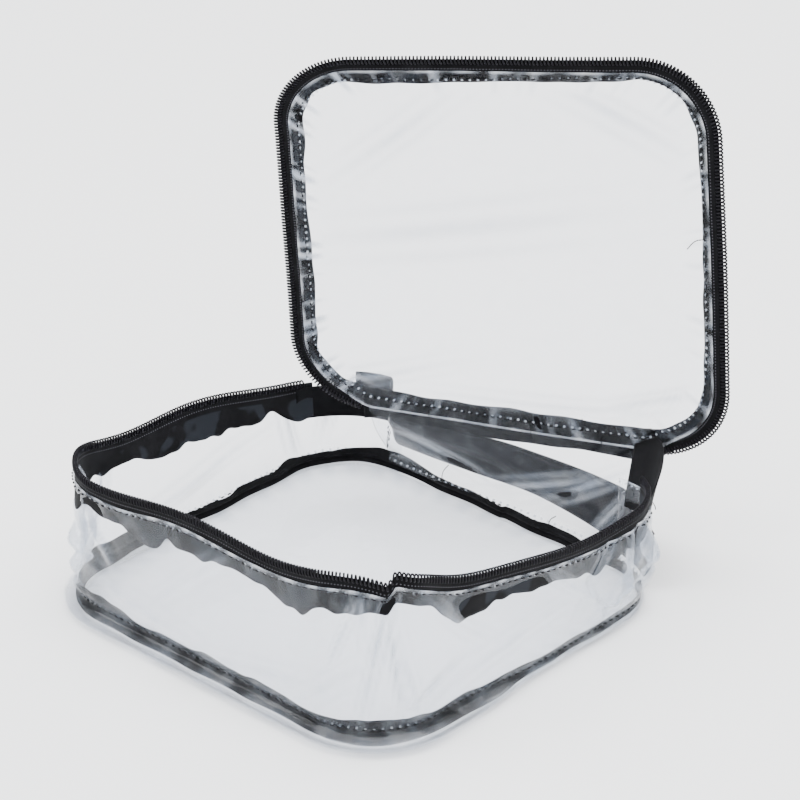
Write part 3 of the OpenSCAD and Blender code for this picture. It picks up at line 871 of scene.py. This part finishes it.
class BAG_OT_rim_stitches(bpy.types.Operator):
    """Makes the stitch row that holds the wall's vinyl to the zipper tape."""
    bl_idname = "bag.rim_stitches"
    bl_label = "Rim stitches"

    def execute(self, context):
        p = sizes()

        def surface(s):
            return wall_seam(s, 1 - (p.bare_w + 0.0014) / wall_outline(s)[-1])

        stitch_row("rim_stitches", "wall_zip_stitches", surface, (LEFT_END, RIGHT_END), p.stitch_pitch,
                   tails=((0.2470, (0.2, 0.3, -1), 0.007), (-0.2200, (-0.3, 0.2, -1), 0.006)))
        return {"FINISHED"}


class BAG_OT_base_stitches(bpy.types.Operator):
    """Makes the stitch row of the bottom seam."""
    bl_idname = "bag.base_seam_stitches"
    bl_label = "Bottom seam stitches"

    def execute(self, context):
        def surface(s):
            return wall_seam(s, (0.0050 + 0.0030 * front_share(s)) / wall_outline(s)[-1])

        stitch_row("base_seam_stitches", "base_stitches", surface, (-0.323, 0.323), sizes().stitch_pitch,
                   tails=((-0.290, (0, 0.4, 1), 0.006), (0.300, (0.2, 0.3, 1), 0.005)))
        return {"FINISHED"}


class BAG_OT_corner_seams(bpy.types.Operator):
    """Makes the upright stitch rows where the side strip laps on the back wall."""
    bl_idname = "bag.corner_seams"
    bl_label = "Corner seam stitches"

    def execute(self, context):
        p = sizes()
        for side, name in ((-1, "left"), (1, "right")):
            seam = side * (RIGHT_SEAM - 0.003)
            x, y, nx, ny = outline(np.array([seam]), p.bag_w, p.bag_d, p.corner_r)
            top = float(rim_height(x, y)[0])
            out = np.array([[nx[0], ny[0], 0.0]])

            def surface(h):
                s = seam + 0.0004 * np.sin(h * 900)
                points, _ = wall_point(s, h / top, inset=-p.vinyl_t / 2 - 0.0001)
                return points, np.repeat(out, len(h), 0)

            stitch_row(f"{name}_seam_stitches", f"corner_seam_stitches_{name}", surface,
                       (0.007, top - p.bare_w - 0.001), CORNER_PITCH,
                       tails=((0.0075, (0.5 * side, 0.5, 0.6), 0.008), (0.009, (-0.4, 0.5, 0.3), 0.006)))
        return {"FINISHED"}


class BAG_OT_back_webbing(bpy.types.Operator):
    """Makes the webbing band on the outside of the back wall, and the close stitching of its ends."""
    bl_idname = "bag.back_webbing"
    bl_label = "Back webbing"

    def execute(self, context):
        p = sizes()
        low, high = BAND_LOW / BACK_TALL, (BAND_LOW + p.band_w) / BACK_TALL
        xs, vv = grid(-1.30, 1.30, 190, 14)

        def place(xs, vv, off):
            inner = np.clip(xs, -1, 1)
            share = low + vv * (high - low) - 0.17 * inner
            flat = back_point(inner, share, inset=-off)
            s = np.sign(xs) * (RIGHT_SEAM - (np.abs(xs) - 1) * HEAD_HALF)
            x, y, _, _ = outline(s, p.bag_w, p.bag_d, p.corner_r)
            corner, _ = wall_point(s, share * BACK_TALL / rim_height(x, y), inset=-off)
            mix = smooth(0.86, 1.06, np.abs(xs))[..., None]
            return flat * (1 - mix) + corner * mix

        slack = 1 - smooth(0.8, 1.0, np.abs(xs))
        sag = 0.0010 * (1 + np.sin(vv * 9 + xs * 2.5 + 0.8 * np.sin(xs * 5))) * slack
        uv = np.stack([xs * 0.065, vv * p.band_w], -1)
        obj = sheet_object("back_webbing", place(xs, vv, 0.0013 + sag), 0.001, uv, flip=True)
        finish_piece(obj, "webbing_band", "webbing", "back_band", body="bag")
        starts, ends, lifts = [], [], []
        across = np.linspace(0.1, 0.9, 11)
        for side in (-1, 1):
            for a, b in ((1.20, 1.235), (1.245, 1.28)):
                starts.append(place(np.full_like(across, side * a), across, 0.0021))
                ends.append(place(np.full_like(across, side * b), across + 0.03, 0.0021))
                lifts.append(np.repeat(np.array([[side * 0.7, 0.7, 0.0]]), len(across), 0))
        tacks = capsules(np.vstack(starts), np.vstack(ends), np.vstack(lifts), p.thread_r * 1.2)
        finish_piece(new_object("webbing_bartacks", *tacks), "black_thread", "thread", "band_bartacks",
                     body="bag")
        return {"FINISHED"}


class BAG_OT_end_cloths(bpy.types.Operator):
    """Makes the black cloth at the zipper's two ends: the left one carries on along the wall, and the
    right one sweeps up from the wall to the lid's corner."""
    bl_idname = "bag.end_cloths"
    bl_label = "Zipper end cloths"

    def execute(self, context):
        p = sizes()
        for side, name, s_wall, tip in ((-1, "left", LEFT_END, 0.0640), (1, "right", 0.2300, 0.0800)):
            uu, vv = grid(0, 1, 34, 26)
            s = s_wall - side * 0.004 + side * uu * (RIGHT_SEAM - abs(s_wall) + 0.004)
            low = rim_point(s, 0.0036 + vv * (p.tape_w - 0.0020), 0.0010)
            lid_x = side * (tip - (tip - 0.0520) * uu)
            head = lid_place(lid_x, -0.0040 - (tip - 0.0600) * (1 - uu) * 0.8, np.full_like(uu, 0.0018))
            reach = (1 - vv) ** 1.4 * smooth(0.0, 0.75, uu) * (side > 0)
            points = low * (1 - reach)[..., None] + head * reach[..., None]
            points[..., 2] -= 0.0030 * np.sin(math.pi * np.clip(reach, 0, 1)) * uu
            uv = np.stack([uu * 0.03, vv * p.tape_w], -1)
            obj = sheet_object(f"{name}_end_cloth", points, p.tape_t, uv, flip=side > 0)
            if side > 0:
                start = rim_point(np.array([s_wall + side * 0.004]), 0.006, 0.001)[0]
                end = lid_place(np.array([side * (tip - 0.008)]), np.array([-0.006]), np.array([0.0018]))[0]
                ride = {"bend": (tuple(start), tuple(end))}
            else:
                ride = {"body": "bag"}
            finish_piece(obj, "binding_tape", "zipper_tape", f"zip_end_tab_{name}", **ride)
        return {"FINISHED"}


class BAG_OT_lid_sheet(bpy.types.Operator):
    """Makes the lid's clear sheet: a rounded sheet with a creased border and a flap to the hinge."""
    bl_idname = "bag.lid_sheet"
    bl_label = "Lid sheet"

    def execute(self, context):
        p = sizes()
        w, d = lid_size()
        full = girth(w, d, p.corner_r)

        def place(k, t):
            s = t * full * NEARLY_ALL
            inset = 0.0060 - 0.0040 * smooth(full / 2 - 0.075, full / 2 - 0.055, np.abs(s))
            x, y = lid_outline(s, inset)
            x, y = x * k, (y + d / 2) * k - d / 2
            crush, fold = creases(x, -y / d, d, LID_CREASES)
            border = smooth(0.86, 0.92, k)
            bumps = ripple(s, ((0.0137, 0.3, 0.5), (0.0083, 1.1, 0.4), (0.0219, 2.0, 0.5)))
            left = 0.35 + 0.65 * smooth(0.01, 0.05, 0.06 - np.abs(x + 0.09))
            wrinkle = border * (1 - smooth(0.965, 1.0, k)) * bumps
            z = 0.0010 - 0.0005 * wrinkle * left + crush * (1 - border)
            # ridges put painted white highlights and grey-blue painted shade on the wrinkles of the left
            # border through the fold value; the creases of the middle are painted the same way.
            ridges = border * left * np.clip(np.abs(bumps) * 1.7 - 1.05, 0, 1)
            values = {"fold": np.clip(fold * (1 - border) + ridges, 0, 1)}
            values["edge"] = smooth(0.984, 1.0, k) * (0.50 + 0.50 * uneven_sine(s, 330, 2, 61))
            at_hinge = smooth(full / 2 - 0.070, full / 2 - 0.060, np.abs(s))
            row = 0.0101 - 0.0018 * narrow_share(s) - 0.0026 * at_hinge
            from_row = inset + (1 - k) * 0.084 - row
            return lid_place(x, y, z), np.stack([s, from_row], -1), values

        obj = disc_object("lid_sheet", place, 56, 460, p.vinyl_t)
        finish_piece(obj, "clear_vinyl_sheet", "clear_vinyl", "lid_panel", body="lid")
        return {"FINISHED"}


class BAG_OT_lid_tape(bpy.types.Operator):
    """Makes the lid's zipper tape: a strip that lies round the lid's border."""
    bl_idname = "bag.lid_tape"
    bl_label = "Lid zipper tape"

    def execute(self, context):
        ss, vv = grid(-LID_END, LID_END, 560, 14)
        inset = 0.0012 + vv * (0.0102 - 0.0022 * narrow_share(ss) + 0.35 * edge_wave(ss + 0.05))
        points = lid_place(*lid_outline(ss, inset), 0.00155 + 0.0003 * vv * np.sin(ss * 260))
        obj = sheet_object("lid_tape", points, sizes().tape_t, np.stack([ss, inset], -1), flip=True)
        finish_piece(obj, "sewn_zipper_tape", "zipper_tape", "lid_zip_tape", body="lid")
        return {"FINISHED"}


class BAG_OT_lid_coil(bpy.types.Operator):
    """Makes the lid's half of the coil zipper as one long helix round the lid's edge."""
    bl_idname = "bag.lid_coil"
    bl_label = "Lid zipper coil"

    def execute(self, context):
        def place(s, across, off):
            return lid_place(*lid_outline(s, across - 0.00045), 0.0015 + off)

        path, s = coil_path(place, -LID_END, LID_END)
        middle = np.full_like(s, sizes().coil_w / 2)
        ahead = place(s + 0.001, middle, 0 * s) - place(s - 0.001, middle, 0 * s)
        obj = tube_object("lid_coil", path, ahead, COIL_WIRE_R)
        finish_piece(obj, "black_nylon_coil", "nylon_coil", "lid_zip_coil", body="lid")
        return {"FINISHED"}


class BAG_OT_lid_stitches(bpy.types.Operator):
    """Makes the stitch row round the lid's vinyl."""
    bl_idname = "bag.lid_stitches"
    bl_label = "Lid stitches"

    def execute(self, context):
        def surface(s):
            return lid_seam(*lid_outline(s, 0.0098 - 0.0018 * narrow_share(s)))

        stitch_row("lid_edge_stitches", "lid_zip_stitches", surface, (-0.258, 0.258), sizes().stitch_pitch,
                   body="lid", tails=((0.150, (-0.5, -0.2, -0.3), 0.008), (-0.255, (0.2, 0.2, -1.0), 0.007)))
        return {"FINISHED"}


class BAG_OT_hinge_tape(bpy.types.Operator):
    """Makes the tape along the lid's hinge edge and the stitch row on it."""
    bl_idname = "bag.hinge_tape"
    bl_label = "Hinge tape"

    def execute(self, context):
        p = sizes()
        xx, vv = grid(-0.0605, 0.0605, 150, 14)
        low = 0.0035 + 0.6 * edge_wave(xx + 0.02)
        y = low * (1 - vv) - 0.0115 * vv - 0.3 * edge_wave(xx) * vv
        points = lid_place(xx, y, 0.0015 + 0.0004 * np.sin(xx * 240 + vv * 2))
        obj = sheet_object("hinge_tape", points, p.tape_t, np.stack([xx, y], -1))
        finish_piece(obj, "binding_tape", "zipper_tape", "hinge_binding", body="lid")
        stitch_row("hinge_seam_stitches", "hinge_stitches", lambda x: lid_seam(x, np.full_like(x, -0.0072)),
                   (-0.060, 0.060), p.stitch_pitch * 0.9, body="lid",
                   tails=((-0.032, (0.1, 0.1, -1), 0.006), (0.012, (-0.2, -0.2, -1), 0.007),
                          (0.030, (0.3, 0.1, 1), 0.006), (0.040, (-0.2, 0.2, -1), 0.008)))
        return {"FINISHED"}


class BAG_OT_slider(bpy.types.Operator):
    """Finishes the slider and its pull, whose shapes come from the CAD."""
    bl_idname = "bag.slider"
    bl_label = "Slider and pull"

    def execute(self, context):
        for name in ("slider_body", "pull_tab"):
            obj = NODE_OBJECTS[name]
            obj.data.materials.clear()
            obj.data.materials.append(material("black_lacquered_metal"))
        return {"FINISHED"}


class BAG_OT_stage(bpy.types.Operator):
    """Makes the floor, the lights and the camera."""
    bl_idname = "bag.stage"
    bl_label = "Stage"

    def execute(self, context):
        scene = context.scene
        corners = [(x * FLOOR_HALF, y * FLOOR_HALF, -0.0006) for x, y in ((-1, -1), (1, -1), (1, 1), (-1, 1))]
        floor = new_object("floor", corners, [[0, 1, 2, 3]])
        floor.data.materials.append(material("pale_floor"))
        world = bpy.data.worlds.new("Studio")
        world.use_nodes = True
        sky = world.node_tree.nodes["Background"].inputs
        sky["Color"].default_value, sky["Strength"].default_value = (0.97, 0.98, 1.0, 1), 1.5
        scene.world = world
        for name, at, power, size in LAMPS:
            lamp = bpy.data.lights.new(name, "AREA")
            lamp.energy, lamp.size = power, size
            obj = bpy.data.objects.new(name, lamp)
            obj.location = at
            obj.rotation_euler = (Vector((0, 0, 0.08)) - Vector(at)).to_track_quat("-Z", "Y").to_euler()
            scene.collection.objects.link(obj)
        azimuth, elevation, far, focal = math.radians(43.0), math.radians(27.9), 1.5, 174.3
        back = Vector((math.sin(azimuth) * math.cos(elevation), -math.cos(azimuth) * math.cos(elevation),
                       math.sin(elevation)))
        right = Vector((math.cos(azimuth), math.sin(azimuth), 0))
        camera = bpy.data.objects.new("camera", bpy.data.cameras.new("camera"))
        camera.data.lens, camera.data.sensor_width = focal, 36.0
        camera.data.clip_start, camera.data.clip_end = 0.05, 50
        camera.location = back * far + right * 0.0155 + back.cross(right) * 0.0759
        camera.rotation_euler = back.to_track_quat("Z", "Y").to_euler()
        scene.collection.objects.link(camera)
        scene.camera = camera
        return {"FINISHED"}


PIECE_OPERATORS = (
    BAG_OT_stage, BAG_OT_base_sheet, BAG_OT_bottom_binding, BAG_OT_side_wall, BAG_OT_back_wall,
    BAG_OT_wall_tape, BAG_OT_wall_coil, BAG_OT_rim_stitches, BAG_OT_base_stitches, BAG_OT_corner_seams,
    BAG_OT_lid_sheet, BAG_OT_lid_tape, BAG_OT_lid_coil, BAG_OT_lid_stitches, BAG_OT_hinge_tape,
    BAG_OT_back_webbing, BAG_OT_end_cloths, BAG_OT_slider)


class BAG_PT_panel(bpy.types.Panel):
    """Lists the bag's sizes, colours and pieces."""
    bl_idname = "BAG_PT_panel"
    bl_label = "Makeup Bag"
    bl_space_type = "VIEW_3D"
    bl_region_type = "UI"
    bl_category = "Makeup Bag"

    def draw(self, context):
        for group in (context.scene.bag_sizes, context.scene.bag_colours):
            for key in group.bl_rna.properties.keys():
                if key not in ("rna_type", "name"):
                    self.layout.prop(group, key)
        for operator in PIECE_OPERATORS:
            self.layout.operator(operator.bl_idname)


CLASSES = (BagSizes, BagColours, *PIECE_OPERATORS, BAG_PT_panel)


def register():
    """Adds the classes and the scene's two property groups."""
    for cls in CLASSES:
        bpy.utils.register_class(cls)
    bpy.types.Scene.bag_sizes = bpy.props.PointerProperty(type=BagSizes)
    bpy.types.Scene.bag_colours = bpy.props.PointerProperty(type=BagColours)


def unregister():
    """Removes what register added."""
    del bpy.types.Scene.bag_colours
    del bpy.types.Scene.bag_sizes
    for cls in reversed(CLASSES):
        bpy.utils.unregister_class(cls)


def main():
    """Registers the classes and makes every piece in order."""
    register()
    for operator in PIECE_OPERATORS:
        group, name = operator.bl_idname.split(".")
        if getattr(getattr(bpy.ops, group), name)() != {"FINISHED"}:
            raise RuntimeError(f"{operator.bl_label} wasn't finished")


if __name__ == "__main__":
    main()
